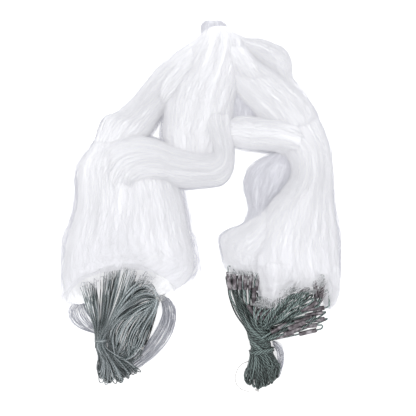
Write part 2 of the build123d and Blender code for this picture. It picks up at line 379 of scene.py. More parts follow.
def smooth_rows(rows, count):
    """Rows of numbers, smoothly filled in between to count rows (a Catmull-Rom curve)."""
    rows = np.asarray(rows, float)
    padded = np.concatenate([2 * rows[:1] - rows[1:2], rows, 2 * rows[-1:] - rows[-2:-1]])
    t = np.linspace(0, len(rows) - 1, count)
    i = np.minimum(t.astype(int), len(rows) - 2)
    f = (t - i)[:, None]
    p0, p1, p2, p3 = padded[i], padded[i + 1], padded[i + 2], padded[i + 3]
    return 0.5 * (
        2 * p1 + (p2 - p0) * f + (2 * p0 - 5 * p1 + 4 * p2 - p3) * f**2
        + (3 * p1 - p0 - 3 * p2 + p3) * f**3
    )


def off_floor(points, diameter):
    """Lifts what lies lower than a line of that diameter on the table."""
    points[:, 2] = np.maximum(points[:, 2], FLOOR_CLEAR + diameter / 2)
    return points


# ---- netting folds

class Fold:
    """A heap of netting between a left and a right edge, row by row along the lay of its mesh."""

    ROUNDNESS = 0.66            # of the heap's section: under 1 is fuller than a half sine
    SIDE, ALONG = 96, 190       # points across the upper side, and rings along the heap
    FINE_ROWS = 240             # steps in which the rows are filled in
    POINTS, LOFT = 30, 0.003    # of each filament, and how far it may stand off

    def __init__(self, name, rows, seed, ridge):
        """rows: left x, y, right x, y, height and, if the row bows along Y, its bow, in mm."""
        self.name = name
        rows = np.array([(*row, 0)[:6] for row in rows], float) / 1000
        self.rows = smooth_rows(rows, self.FINE_ROWS + 1)
        self.rng = np.random.default_rng(seed)
        self.ridge = ridge
        self.waves = []
        for frequency in (2.3, 4.1, 7.7, 13.0, 21.0, 34.0):
            drift = np.cumsum(self.rng.normal(0, 0.16, 24))
            share = (2.3 / frequency) ** 0.55
            self.waves.append((frequency, drift, share, self.rng.uniform(0, ROUND)))

    def ridges(self, u, v):
        """Soft ridges that follow the lay and wander a little."""
        total = 0.0
        for frequency, drift, share, phase in self.waves:
            wander = np.interp(v, np.linspace(0, 1, len(drift)), drift)
            total = total + share * np.sin(2 * np.pi * (frequency * u * 0.5 + wander) + phase)
        return total / 2.2

    def rows_at(self, v):
        place = np.clip(v, 0, 1) * self.FINE_ROWS
        low = np.minimum(place.astype(int), self.FINE_ROWS - 1)
        part = (place - low)[..., None]
        return self.rows[low] * (1 - part) + self.rows[low + 1] * part

    def surface(self, u, v, lift=0.0):
        """The point of the heap's upper side at u across and v along, lifted off it by lift."""
        row = self.rows_at(v)
        left, right, height, bow = row[..., 0:2], row[..., 2:4], row[..., 4], row[..., 5]
        turn = np.clip(u, 0, 1) * np.pi
        side = (1 - np.cos(turn)) / 2 + (u - np.clip(u, 0, 1)) * 1.2
        up = np.sin(turn) ** self.ROUNDNESS
        flat = left + (right - left) * side[..., None]
        flat[..., 1] += bow * np.sin(turn)
        z = FLOOR_CLEAR + (height - self.ridge) * up
        bulge = self.ridges(u, v) * self.ridge * (0.25 + 0.75 * up)
        across = right - left
        across = across / (np.linalg.norm(across, axis=-1, keepdims=True) + 1e-9)
        out = -np.cos(turn)
        push = bulge + lift
        flat = flat + across * (push * out * 0.8)[..., None]
        z = np.maximum(z + push * np.maximum(up, 0.15), FLOOR_CLEAR)
        return np.concatenate([flat, z[..., None]], axis=-1)

    def heap(self, material):
        """The closed body of the heap: its soft upper side, its flat underside and its two ends."""
        side = self.SIDE
        around = 2 * side - 2
        u = np.concatenate([np.linspace(0, 1, side), np.linspace(1, 0, side)[1:-1]])
        grid_u, grid_v = np.meshgrid(u, np.linspace(0, 1, self.ALONG))
        points = self.surface(grid_u, grid_v)
        points[:, side:, 2] = FLOOR_CLEAR / 2
        index = np.arange(self.ALONG * around).reshape(self.ALONG, around)
        run = along_line(points[:, side // 2]) * 10
        piece = new_mesh(self.name, points.reshape(-1, 3), *skin(index, run), material)
        ends = []
        for ring in index[[0, -1]]:
            top, under = ring[:side], np.concatenate([ring[:1], ring[:side - 2:-1]])
            for k in range(side - 1):
                corners = [top[k], top[k + 1], under[k + 1], under[k]]
                ends.append(list(dict.fromkeys(int(c) for c in corners)))
        close_ends(piece, ends)
        return piece

    def strands(self, kind, material, count, stray):
        """Single meshes pulled along the lay, some standing off the heap as wisps at its sides."""
        rng = self.rng
        u = rng.uniform(0.02, 0.98, count)
        wisp = rng.random(count) < stray
        side = np.where(rng.random(count) < 0.5, -0.015, 1.015)
        u = np.where(wisp, side + rng.normal(0, 0.015, count), u)
        length = rng.uniform(0.15, 0.6, count)
        start = rng.uniform(-0.04, 1.0, count) * (1 - length * 0.9)
        t = np.linspace(0, 1, self.POINTS)
        v = np.clip(start[:, None] + t * length[:, None], 0, 1)
        sway = rng.normal(0, 0.012, (count, 4))
        sway = sum(
            sway[:, k, None] * np.sin(np.pi * (k + 1) * t + rng.uniform(0, ROUND, (count, 1)))
            for k in range(4)
        )
        lift = rng.uniform(0.0001, 1.0, count)[:, None] ** 2.5 * self.LOFT
        phase = t * rng.uniform(0.5, 2, (count, 1)) + rng.random((count, 1))
        lift = lift * (1 + 0.7 * np.sin(2 * np.pi * phase)) + STRAND_RADIUS * 0.6
        lines = self.surface(u[:, None] + sway, v, lift)
        lines[..., 0] = np.clip(lines[..., 0], -REACH, REACH)
        lines[..., 2] = np.maximum(lines[..., 2], FLOOR_CLEAR + STRAND_RADIUS)
        taper = np.clip(np.minimum(t, 1 - t) * 8, 0.35, 1)
        radius = STRAND_RADIUS * taper
        return tubes(f"{self.name}_{kind}", lines, radius, STRAND_SIDES, material)


# The shade copies are darker: painted shade, on the folds that take them and on the wisps at the
# folds' sides
netting = {
    "bright": netting_material("netting_white", (0.80, 0.797, 0.822), (0.90, 0.898, 0.912)),
    "shade": netting_material("netting_shade", (0.73, 0.73, 0.765), (0.75, 0.75, 0.785)),
}
filament = {
    "bright": strand_material("filament_white", (0.88, 0.88, 0.90)),
    "shade": strand_material("filament_shade", (0.74, 0.74, 0.78)),
}

HEAD, LEAD = "headline_leg", "lead_leg"
# A fold that lies across both legs, given with a point on each; its place is baked into its points
OVER_CROWN = (HEAD, LEAD, (0.020, 0.310, 0), (0.110, 0.250, 0))
OVER_BACK = (HEAD, LEAD, (0.040, 0.340, 0), (0.100, 0.320, 0))


def carry(piece, body):
    """The piece moves with one body; where body names two of them, its place is only baked into its
    points.
    """
    if isinstance(body, tuple):
        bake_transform(piece)
    else:
        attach(piece, body)


PLAIN_RIDGE = 0.0018
FOLDS = [
    dict(
        name="crown_bunch", body=HEAD, nodes=["netting_crown_bunch"], painted_shading="shade", count=260,
        rows=[
            (17, 372.5, 33, 373, 8), (8, 369, 43, 369, 22), (3, 362, 50, 360, 34),
            (2, 352, 52, 350, 40), (4, 340, 56, 340, 42), (8, 330, 54, 330, 36),
        ],
    ),
    dict(
        name="outer_band", body=HEAD, nodes=["netting_outer_band"], count=700,
        rows=[
            (2, 346, 44, 322, 30), (-24, 322, 22, 282, 46), (-54, 300, -8, 250, 50),
            (-84, 274, -36, 224, 50), (-106, 248, -58, 202, 48), (-134, 214, -78, 182, 46),
            (-164, 187, -92, 162, 44), (-194, 174, -104, 144, 42), (-210, 136, -124, 122, 40),
            (-218, 106, -140, 100, 34),
        ],
    ),
    dict(
        name="crown", body=HEAD, nodes=["netting_crown"], count=900,
        rows=[
            (8, 352, 56, 356, 44), (-8, 330, 82, 332, 60), (-30, 304, 92, 300, 70),
            (-50, 268, 86, 256, 72), (-66, 236, 76, 226, 70), (-74, 204, 68, 196, 66),
            (-75, 170, 62, 164, 62), (-76, 138, 50, 138, 56), (-66, 108, 40, 108, 46),
            (-50, 80, 30, 80, 24),
        ],
    ),
    dict(
        name="web_of_netting_left", body=HEAD, count=380,
        rows=[
            (4, 338, 48, 330, 36), (-30, 306, 24, 286, 60), (-58, 276, -4, 250, 66),
            (-82, 244, -32, 222, 60), (-92, 216, -60, 204, 48), (-94, 196, -76, 192, 26),
        ],
    ),
    dict(
        name="web_of_netting_right", body=OVER_CROWN, count=380,
        rows=[
            (26, 336, 74, 338, 36), (40, 300, 98, 300, 68), (54, 268, 122, 272, 68),
            (66, 244, 144, 250, 60), (80, 222, 158, 228, 44), (96, 206, 166, 206, 20),
        ],
    ),
    dict(
        name="headline_leg_netting", body=HEAD, nodes=["netting_headline_leg"], count=1000,
        rows=[
            (-190, 156, -124, 154, 8), (-208, 134, -112, 134, 34), (-224, 110, -88, 108, 50),
            (-241, 84, -60, 76, 60), (-246, 54, -48, 40, 60), (-246, 8, -38, 2, 60),
            (-255, -32, -30, -42, 60), (-268, -76, -21, -82, 58, 6),
            (-275, -122, -15, -114, 50, 22), (-277, -154, -17, -140, 38, 36),
            (-276, -178, -30, -158, 30, 44), (-272, -198, -56, -178, 24, 56),
        ],
    ),
    dict(
        name="middle_fold", body=HEAD, nodes=["netting_middle_fold"], count=900, ridge=0.0024,
        rows=[
            (22, 240, 42, 238, 6), (14, 214, 50, 210, 30), (6, 186, 58, 182, 56),
            (4, 162, 60, 158, 70), (16, 132, 64, 122, 78), (24, 106, 63, 74, 80),
            (6, 101, 44, 44, 80), (-18, 104, 2, 37, 80), (-56, 116, -38, 35, 80),
            (-94, 130, -70, 44, 80), (-134, 136, -102, 40, 79), (-172, 129, -126, 24, 72),
            (-206, 112, -122, 4, 62), (-232, 80, -114, -30, 53), (-243, 40, -106, -70, 42),
            (-246, 0, -104, -106, 28), (-250, -40, -110, -140, 12),
        ],
    ),
    dict(
        name="back_fold", body=OVER_BACK, nodes=["netting_back_fold"], count=600,
        rows=[
            (54, 326, 60, 350, 24), (86, 306, 92, 334, 36), (116, 286, 116, 332, 40),
            (134, 268, 146, 322, 40), (148, 252, 168, 310, 40), (158, 240, 181, 288, 40),
            (168, 232, 184, 258, 34), (184, 222, 198, 238, 28),
        ],
    ),
    # this fold takes the shade copy: painted shade in the recess between the crown and the back
    # band
    dict(
        name="recess_of_netting", body=OVER_CROWN, painted_shading="shade", count=300,
        rows=[
            (44, 262, 104, 262, 30), (48, 230, 116, 228, 34), (52, 200, 124, 198, 34),
            (54, 172, 130, 168, 30), (60, 150, 130, 146, 20),
        ],
    ),
    dict(
        name="back_band", body=OVER_CROWN, nodes=["netting_back_band"], count=800,
        rows=[
            (14, 330, 66, 346, 40), (26, 290, 92, 316, 56), (44, 252, 116, 286, 62),
            (66, 224, 148, 266, 62), (92, 194, 178, 246, 62), (120, 166, 208, 216, 62),
            (142, 132, 230, 180, 52), (154, 104, 236, 142, 30), (166, 78, 236, 106, 8),
        ],
    ),
    dict(
        name="lead_leg_netting", body=LEAD, nodes=["netting_lead_leg"], count=1100,
        rows=[
            (130, 196, 208, 226, 24), (138, 170, 222, 196, 42), (150, 126, 242, 156, 48),
            (176, 88, 256, 114, 56), (180, 56, 261, 70, 60), (160, 28, 262, 30, 60),
            (134, 2, 265, -10, 60), (112, -34, 270, -44, 60), (98, -64, 273, -70, 58),
            (90, -94, 275, -98, 54), (92, -122, 277, -128, 50), (104, -142, 278, -146, 44, -4),
            (122, -158, 274, -158, 34, -8),
        ],
    ),
    dict(
        name="pillow_fold", body=LEAD, nodes=["netting_pillow_fold"], count=500, ridge=0.0024,
        rows=[
            (48, 144, 50, 154, 34), (54, 126, 60, 170, 54), (72, 117, 78, 177, 62),
            (100, 112, 106, 176, 66), (130, 109, 138, 176, 68), (160, 104, 170, 174, 66),
            (188, 96, 204, 160, 54), (210, 76, 230, 136, 34), (226, 60, 240, 110, 10),
        ],
    ),
    dict(
        name="inner_fold", body=LEAD, nodes=["netting_inner_fold"], painted_shading="shade", count=500,
        rows=[
            (146, 104, 182, 98, 16), (114, 86, 186, 72, 36), (95, 63, 180, 48, 40),
            (90, 36, 164, 24, 40), (96, 8, 144, -2, 38), (98, -12, 134, -26, 36),
            (90, -34, 124, -52, 26), (84, -50, 110, -70, 12),
        ],
    ),
    dict(
        name="side_fold", body=LEAD, nodes=["netting_side_fold"], count=700,
        rows=[
            (128, 16, 178, 0, 18), (112, -10, 168, -30, 40), (88, -40, 158, -62, 50),
            (58, -54, 144, -96, 52), (41, -70, 126, -118, 48), (44, -98, 118, -136, 44),
            (48, -118, 118, -142, 36), (51, -133, 120, -146, 26),
        ],
    ),
    dict(
        name="tongue_of_netting", body=LEAD, count=500,
        rows=[
            (100, -88, 216, -84, 22), (104, -112, 212, -108, 46), (108, -134, 206, -132, 53),
            (114, -154, 194, -150, 52), (118, -172, 182, -164, 50, -2),
            (122, -186, 170, -176, 46, -4), (126, -194, 156, -186, 36, -6),
        ],
    ),
    dict(
        name="strip_of_netting", body=LEAD, count=260,
        rows=[
            (222, -84, 275, -88, 16), (230, -116, 277, -120, 36), (240, -146, 278, -150, 36),
            (247, -170, 278, -176, 32), (250, -192, 272, -198, 24), (251, -208, 262, -213, 16),
        ],
    ),
]

for number, spec in enumerate(FOLDS):
    fold = Fold(spec["name"], spec["rows"], SEED + number, spec.get("ridge", PLAIN_RIDGE))
    painted_shading = spec.get("painted_shading", "bright")
    heap = fold.heap(netting[painted_shading])
    strands = fold.strands("strands", filament[painted_shading], spec["count"], stray=0.0)
    # the wisps take the shade copy: painted shade at the folds' sides
    wisps = fold.strands("wisps", filament["shade"], spec["count"] // 3, stray=1.0)
    for piece in (heap, strands, wisps):
        carry(piece, spec["body"])
    if "nodes" in spec:
        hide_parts(*spec["nodes"])


# ---- hanks of line

def slots(count):
    """Places in a round for strands passing side by side, spread as seeds in a sunflower."""
    i = np.arange(count)
    radius = np.sqrt((i + 0.5) / count)
    angle = i * math.pi * (3 - math.sqrt(5))
    return np.stack([radius * np.cos(angle), radius * np.sin(angle)], axis=1)


def add_line(
    name, line, diameter, material, body, nodes=(),
    sides=ROPE_SIDES,
):
    """A free line, in place of those CAD nodes."""
    piece = tubes(name, line[None], diameter / 2, sides, material)
    carry(piece, body)
    if nodes:
        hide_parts(*nodes)


def polyline_at(points, share):
    """The point a share of the way along a chain of corners."""
    points = np.asarray(points, float)
    along = along_line(points)
    return np.array([np.interp(share * along[-1], along, axis) for axis in points.T])


rng = np.random.default_rng(SEED)

# The headline's hank, in mm. Its turns pass the neck, and either lie in the fan, each with its
# bight at the netting's edge, or go round the ring: over by an arc between HIGH_ARC and LOW_ARC
# to NODE, down between RIGHT_OUT and RIGHT_IN, and back between UNDER_NEAR and UNDER_FAR.
NECK = np.array([-202.0, -273.0])
NECK_HALF = (11.4, 9.9)
NECK_Z = 11.4
NECK_LEVELS = [(-290, 1.0), (-280, 0.98), (-268, 1.0)]
TAIL_ROOT = -298.0
NET_EDGE = [
    (-241, -166), (-226, -158), (-210, -152), (-194, -143), (-180, -131), (-166, -121),
    (-157, -118), (-144, -127), (-130, -137), (-116, -142), (-102, -150), (-92, -160),
]
NODE = np.array([-86.0, -191.0])
HIGH_ARC = [(-192, -256), (-176, -222), (-157, -184), (-140, -154), (-116, -143), (-94, -162)]
LOW_ARC = [(-191, -262), (-183, -250), (-164, -234), (-142, -225), (-114, -213), (-92, -200)]
RIGHT_OUT = [(-88, -208), (-95, -238), (-106, -266), (-114, -288), (-120, -302)]
RIGHT_IN = [(-118, -200), (-156, -219), (-181, -245), (-187, -266), (-181, -287)]
UNDER_NEAR = [(-134, -294), (-152, -298), (-172, -293), (-187, -282)]
UNDER_FAR = [(-108, -316), (-134, -334), (-166, -324), (-189, -295)]
TAIL_TIPS = [
    (-206, -342), (-200, -355), (-188, -363), (-174, -361), (-160, -357), (-143, -349),
    (-126, -338),
]
FAN_BIGHTS = 38
RING_LOOPS = 32
RING_ROUNDS = 3


def headline_route():
    """Turn after turn of the headline: tail, neck, a bight in the fan or a ring, and back."""
    places = slots(2 * FAN_BIGHTS + RING_LOOPS)
    order = np.argsort(places[:, 0])
    places = places[order] * NECK_HALF
    route = []

    def pass_neck(s, levels):
        for y, spread in levels:
            route.append((NECK[0] + s[0] * spread, y, NECK_Z + s[1] * spread))

    def tail(across):
        """A loop of the tail, from under the neck round its tip and back."""
        tip = polyline_at(TAIL_TIPS, across) + rng.normal(0, 2.5, 2)
        start = np.array([NECK[0] + across * 16 + rng.normal(0, 2.5), TAIL_ROOT])
        run = tip - start
        run = run / np.linalg.norm(run)
        side = np.array([run[1], -run[0]])
        reach = np.linalg.norm(tip - start) + rng.uniform(-9, 2)
        half = rng.uniform(2.4, 5.2)
        low, high = sorted(rng.uniform(2, 20, 2))
        for part, width, z in (
            (0.3, 0.9, low), (0.65, 1.4, low), (0.93, 1.0, low), (1.0, 0.62, low),
            (1.0, -0.62, high), (0.93, -1.0, high), (0.65, -1.4, high), (0.3, -0.9, high),
        ):
            place = start + run * reach * part + side * half * width
            blend = min(1, part * 1.6)
            route.append((*place, NECK_Z + (z - NECK_Z) * blend))

    def ring():
        """Once round the ring: up and over to the node, down inside it, and back under."""
        level, inward, depth = rng.random(3)
        z = 2.5 + 22 * rng.random() ** 1.2
        for part in (0.05, 0.2, 0.38, 0.56, 0.78, 0.97):
            high, low = polyline_at(HIGH_ARC, part), polyline_at(LOW_ARC, part)
            place = low + (high - low) * level + rng.normal(0, 1.6, 2)
            route.append((*place, NECK_Z + (z - NECK_Z) * min(1, part * 3)))
        route.append((*(NODE + rng.normal(0, 2.4, 2)), z))
        for part in (0.08, 0.34, 0.6, 0.84):
            out, into = polyline_at(RIGHT_OUT, part), polyline_at(RIGHT_IN, part)
            place = out + (into - out) * inward + rng.normal(0, 1.6, 2)
            route.append((*place, np.clip(z + rng.normal(0, 1.5), 2, 25)))
        for part in (0.05, 0.36, 0.68, 0.97):
            if part < inward * 0.7:
                continue
            near, far = polyline_at(UNDER_NEAR, part), polyline_at(UNDER_FAR, part)
            place = near + (far - near) * depth + rng.normal(0, 1.2, 2)
            route.append((*place, min(max(z * (1 - part) + part * 10, 2), 24)))

    def bight(share):
        """Out to the netting's edge, a share of the way along it, and back beside itself."""
        target = polyline_at(NET_EDGE, share * 0.86)
        target = target + rng.normal(0, 3, 2) + (0, rng.uniform(-10, 3))
        run = target - NECK
        reach = np.linalg.norm(run)
        run = run / reach
        side = np.array([-run[1], run[0]])
        bow = 9 * (0.42 - share) + rng.normal(0, 2.5)
        half = rng.uniform(2.2, 4.5)
        z = rng.uniform(3, 23)

        def lay(stations, hand, z):
            for part, width in stations:
                aside = bow * math.sin(math.pi * part) + hand * half * width * 0.35
                place = NECK + run * reach * part + side * aside
                route.append((*place, NECK_Z + (z - NECK_Z) * min(1, part * 1.5)))

        lay(((0.3, 2.0), (0.62, 3.0), (0.9, 1.0)), 1, z)
        route.append((*(target + side * half), z))
        route.append((*(target + run * 4), z + 1.2))
        route.append((*(target - side * half), z))
        lay(((0.86, 1.0), (0.58, 3.0), (0.28, 2.0)), -1, z + 1)

    turns = [k / (FAN_BIGHTS - 1) for k in range(FAN_BIGHTS)] + [None] * RING_LOOPS
    used = 0
    for number, share in enumerate(turns):
        pass_neck(places[used], NECK_LEVELS)
        used += 1
        if share is None:
            for _ in range(RING_ROUNDS):
                ring()
        else:
            bight(share)
            pass_neck(places[used], NECK_LEVELS[::-1])
            used += 1
        across = (number + 0.5) / len(turns) + rng.normal(0, 0.14)
        tail(min(max(across, 0.0), 1.0))
    return np.array(route) / 1000


# The last tuple of each is painted shade: the line darker lower in its hank
headline_green = rope_material(
    "headline_cord", (0.010, 0.024, 0.024), (0.135, 0.205, 0.212), (0.89, 0.955, 0.98), 190.0,
    painted_depth_shade=(0.004, 0.027, 0.05),
)
lead_line_green = rope_material(
    "lead_line", (0.006, 0.014, 0.012), (0.046, 0.080, 0.074), (0.33, 0.42, 0.40), 120.0,
    painted_depth_shade=(0.004, 0.031, 0.05),
)
twine_clear = rope_material(
    "twine_clear", (0.22, 0.23, 0.28), (0.56, 0.57, 0.64), (0.94, 0.94, 0.97), 260.0
)
thread_white = rope_material(
    "thread_white", (0.50, 0.48, 0.46), (0.72, 0.70, 0.68), (0.88, 0.87, 0.86), 240.0
)


def knot(name, centre, size, diameter, turn, body):
    """A small overhand knot: the trefoil that the line makes, drawn up tight."""
    t = np.linspace(0, 2 * math.pi, 61)
    x = np.sin(t) + 2 * np.sin(2 * t)
    y = np.cos(t) - 2 * np.cos(2 * t)
    z = -np.sin(3 * t)
    c, s = math.cos(turn), math.sin(turn)
    line = np.stack([x * c - y * s, x * s + y * c, z], axis=1) * size / 6
    line = line + np.array(centre, float) / 1000
    piece = tubes(name, line[None], diameter / 2, KNOT_SIDES, thread_white)
    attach(piece, body)


add_line(
    "headline", off_floor(nurbs_line(headline_route()), HEADLINE_DIAMETER), HEADLINE_DIAMETER,
    headline_green,
    (HEAD, "headline_tail", (-0.202, -0.301, 0), (-0.190, -0.322, 0)),
    ["headline_hank_fan", "headline_hank_tail"], HEADLINE_SIDES,
)
for number, centre in enumerate([
    (-130, -139, 25), (-114, -146, 26), (-122, -163, 25), (-88, -188, 25), (-83, -193, 22),
    (-94, -178, 24), (-118, -289, 22), (-150, -128, 24), (-232, -162, 22), (-206, -154, 24),
]):
    knot(f"headline_knot_{number + 1}", centre, 0.005, 0.0012, number, HEAD)


def wound_tie(name, neck, half, ys, turns, slant, diameter, material, body, node):
    """A few turns of line wound round a neck and tucked in, in mm."""
    t = np.linspace(0, 1, int(turns * 20))
    angle = 2 * math.pi * turns * t + 2.2
    grow = 1 + 0.04 * np.sin(angle * 0.37)
    points = np.stack([
        neck[0] + (half[0] + diameter / 2) * grow * np.cos(angle),
        ys[0] + (ys[1] - ys[0]) * t + slant * np.cos(angle),
        neck[1] + (half[1] + diameter / 2) * grow * np.sin(angle),
    ], axis=1)
    diameter = diameter / 1000
    line = nurbs_line(off_floor(points / 1000, diameter))
    add_line(name, line, diameter, material, body, [node])


wound_tie(
    "headline_tie_line", (-202, 11.4), (11.8, 10.3), (-270, -277), 4.0, 1.0, 1.5,
    headline_green, HEAD, "headline_tie",
)


def loops_of_twine(name, outer, inner, count, z_range, body, node, seed):
    """Loose loops of twine between an outer and an inner run, out and back."""
    spread = np.random.default_rng(seed)
    out, back = (0.0, 0.18, 0.36, 0.54, 0.72, 0.88, 1.0), (0.9, 0.7, 0.5, 0.3, 0.1)
    route = []
    for k in range(count):
        share = (k + 0.5) / count
        share = min(max(share + spread.normal(0, 0.08), 0), 1)
        z = spread.uniform(*z_range)
        for parts, inward, rise in ((out, 0.0, 0.0), (back, 0.1, 1.5)):
            for part in parts:
                a, b = polyline_at(outer, part), polyline_at(inner, part)
                place = a + (b - a) * min(share + inward, 1) + spread.normal(0, 1.3, 2)
                route.append((*place, z + rise + spread.normal(0, 0.8)))
    line = nurbs_line(off_floor(np.array(route) / 1000, TWINE_DIAMETER))
    add_line(name, line, TWINE_DIAMETER, twine_clear, body, [node], TWINE_SIDES)


loops_of_twine(
    "twine_left",
    [
        (-206, -264), (-232, -256), (-258, -246), (-266, -234), (-272, -212), (-262, -200),
        (-246, -206),
    ],
    [
        (-204, -262), (-211, -246), (-220, -232), (-228, -222), (-236, -210), (-240, -203),
        (-236, -200),
    ],
    20, (1.5, 8), HEAD, "headline_twine_left", 11,
)
loops_of_twine(
    "twine_right",
    [(-84, -190), (-62, -184), (-47, -202), (-45, -226), (-56, -264), (-84, -303), (-148, -347)],
    [(-82, -194), (-74, -208), (-76, -230), (-90, -254), (-106, -280), (-128, -306), (-162, -326)],
    30, (1.5, 8.5), HEAD, "headline_twine_right", 12,
)


# ---- the lead line and its sinkers

# The lead line's hank, in mm. From its neck the turns run in a bundle, then fan out, each to
# two sinkers or to a bight at the netting's edge. The bundle's middle and half sizes are by Y.
LEAD_NECK = np.array([122.0, -307.0])
BUNDLE_LEVELS = (-309, -296, -280, -262, -246)
BUNDLE_Y = np.array([-330, -309, -296, -280, -262, -245], float)
BUNDLE_X = np.array([127, 124, 122, 119, 117, 118], float)
BUNDLE_HALF_X = np.array([35, 27, 22.5, 22, 26, 31], float)
BUNDLE_HALF_Z = np.array([10, 11.5, 12, 12, 12.5, 13], float)
HALF_TWIST = math.radians(165)
TWIST_FROM, TWIST_OVER = -248, 56
MIDDLE_Z = 14.0
TOP_BIGHTS = [
    (52, -146, 15), (62, -141, 16), (73, -146, 15), (84, -141, 16), (94, -146, 15),
    (106, -145, 16), (112, -180, 24), (126, -205, 36), (142, -206, 44), (160, -190, 52),
    (176, -182, 56), (190, -178, 58), (203, -175, 58), (212, -176, 58), (220, -180, 58),
    (222, -188, 54),
]
LOW_BIGHTS = [
    (57, -168, 8), (69, -166, 10), (82, -168, 8), (94, -166, 10), (105, -174, 10), (118, -190, 8),
    (132, -198, 10), (146, -198, 8), (160, -190, 10), (174, -184, 8), (188, -182, 10),
    (202, -184, 8), (216, -188, 10), (228, -200, 8), (232, -216, 10), (224, -234, 8),
    (206, -248, 8), (190, -256, 8),
]


def sinker_axes():
    """Each sinker's middle and the way that its bore runs, pointed away from the neck."""
    found = []
    for name in sorted(n for n in NODES if n.startswith("sinker_")):
        points = np.array([v.co for v in NODES[name].data.vertices], float) * 1000
        middle = (points.min(0) + points.max(0)) / 2
        offsets = points - middle
        axis = np.linalg.eigh(offsets.T @ offsets)[1][:, 2]
        if np.dot(axis[:2], middle[:2] - LEAD_NECK) < 0:
            axis = -axis
        found.append((middle, axis))
    return found


def bundle_place(y, s):
    """A strand's place in the bundle at y: the bundle gives half a turn on its way to the neck."""
    twist = HALF_TWIST * np.clip((TWIST_FROM - y) / TWIST_OVER, 0, 1)
    c, sn = math.cos(twist), math.sin(twist)
    x, z = s[0] * c + s[1] * sn, -s[0] * sn + s[1] * c
    return (
        np.interp(y, BUNDLE_Y, BUNDLE_X) + x * np.interp(y, BUNDLE_Y, BUNDLE_HALF_X),
        y,
        MIDDLE_Z + z * np.interp(y, BUNDLE_Y, BUNDLE_HALF_Z),
    )


def bearing(point):
    """Which way a point lies from just above the neck, from left to right."""
    return -math.atan2(point[0] - LEAD_NECK[0], point[1] - LEAD_NECK[1] - 20)


def lead_route():
    """Turn after turn of the lead line: tail, neck, out through a sinker, back through the next."""
    spread = np.random.default_rng(21)
    axes = sorted(sinker_axes(), key=lambda a: -bearing(a[0]))
    pairs = list(zip(axes[::2], axes[1::2]))
    turns = [("sinkers", pair, bearing((pair[0][0] + pair[1][0]) / 2)) for pair in pairs]
    turns += [("bight", np.array(p, float), bearing(p)) for p in TOP_BIGHTS + LOW_BIGHTS]
    turns.sort(key=lambda t: -t[2])
    places = slots(2 * len(turns))
    places = places[np.argsort(places[:, 0])]
    route = []

    def through_bundle(s, target):
        return [bundle_place(y, s) for y in BUNDLE_LEVELS if y <= target[1] - 22]

    def along_sinker(middle, axis, stations):
        for along in stations:
            route.append(tuple(middle + axis * along))

    def bight_side(root, what, side, half, parts, hand):
        run = what - root
        for part in parts:
            aside = hand * half + 5 * math.sin(math.pi * part)
            x, y, _ = root + run * part + side * aside
            rise = math.sin(part * math.pi / 2)
            route.append((x, y, root[2] + (what[2] - root[2]) * rise))

    for number, (kind, what, _) in enumerate(turns):
        up, down = places[2 * number], places[2 * number + 1]
        if kind == "sinkers":
            (c1, a1), (c2, a2) = what
            route += through_bundle(up, c1)
            route.append(tuple(c1 - a1 * 36 + (0, 0, 1)))
            along_sinker(c1, a1, (-26, -10, 10, 26))
            e1, e2 = c1 + a1 * 28.5, c2 + a2 * 28.5
            across = (e2 - e1) / 2
            beyond = (a1 + a2) / 2
            route.append(tuple(e1 + across * 0.35 + beyond))
            route.append(tuple(e2 - across * 0.35 + beyond))
            along_sinker(c2, a2, (26, 10, -10, -26))
            route.append(tuple(c2 - a2 * 36 + (0, 0, 1)))
            route += through_bundle(down, c2)[::-1]
        else:
            route += through_bundle(up, what)
            start = np.array(route[-1])
            run = what - start
            side = np.array([-run[1], run[0], 0]) / (np.linalg.norm(run[:2]) + 1e-9)
            half = spread.uniform(2.6, 4.2)
            bight_side(start, what, side, half, (0.3, 0.62, 0.92), 1)
            tip = what + run / (np.linalg.norm(run) + 1e-9) * 5
            route.append((tip[0], tip[1], what[2] - 2))
            back = np.array(bundle_place(-262, down))
            bight_side(back, what, side, half, (0.92, 0.62, 0.3), -1)
            route += through_bundle(down, what)[::-1]
        turn_tail(route, spread, down, places[min(2 * number + 2, len(places) - 1)])
    return np.array(route) / 1000


def turn_tail(route, spread, s, t):
    """A loop of the tail, from the neck at s round its tip and back to the neck at t."""
    first, last = np.array(bundle_place(-326, s)), np.array(bundle_place(-326, t))
    middle = (first[0] + last[0]) / 2 - 123
    tip_x = 122 + middle * 1.2 + spread.normal(0, 6)
    tip_x = min(max(tip_x, 90), 155)
    tip_y = -370 + 18 * ((tip_x - 118) / 32) ** 2 + spread.uniform(-1, 8)
    half = spread.uniform(3.0, 6.0)
    z0, z1 = spread.uniform(2.2, 20, 2)
    route.append(tuple(first))
    route.append((first[0] * 0.4 + (tip_x - half) * 0.6 - 2, tip_y + 22, (first[2] + z0) / 2))
    route.append((tip_x - half, tip_y + 6, z0))
    route.append((tip_x, tip_y - 3.5, (z0 + z1) / 2))
    route.append((tip_x + half, tip_y + 6, z1))
    route.append((last[0] * 0.4 + (tip_x + half) * 0.6 + 2, tip_y + 22, (last[2] + z1) / 2))
    route.append(tuple(last))


add_line(
    "lead_line", off_floor(nurbs_line(lead_route()), LEAD_LINE_DIAMETER), LEAD_LINE_DIAMETER,
    lead_line_green, (LEAD, "lead_tail", (0.122, -0.300, 0), (0.122, -0.325, 0)),
    ["lead_line_hank_fan", "lead_line_hank_tail", "lead_line_in_sinkers"],
)
knot("lead_line_end", (114, -375, 9), 0.008, 0.0016, 0.6, "lead_tail")

wound_tie(
    "lead_line_tie_line", (122, MIDDLE_Z), (23.0, 12.4), (-291, -299), 3.0, 4.0, 3.0,
    lead_line_green, LEAD, "lead_line_tie",
)
loops_of_twine(
    "twine_lead",
    [(142, -274), (157, -277), (169, -290), (171, -308), (164, -330), (156, -354)],
    [(146, -284), (150, -290), (155, -300), (156, -314), (152, -330), (148, -346)],
    14, (2, 14), LEAD, "lead_line_twine", 13,
)


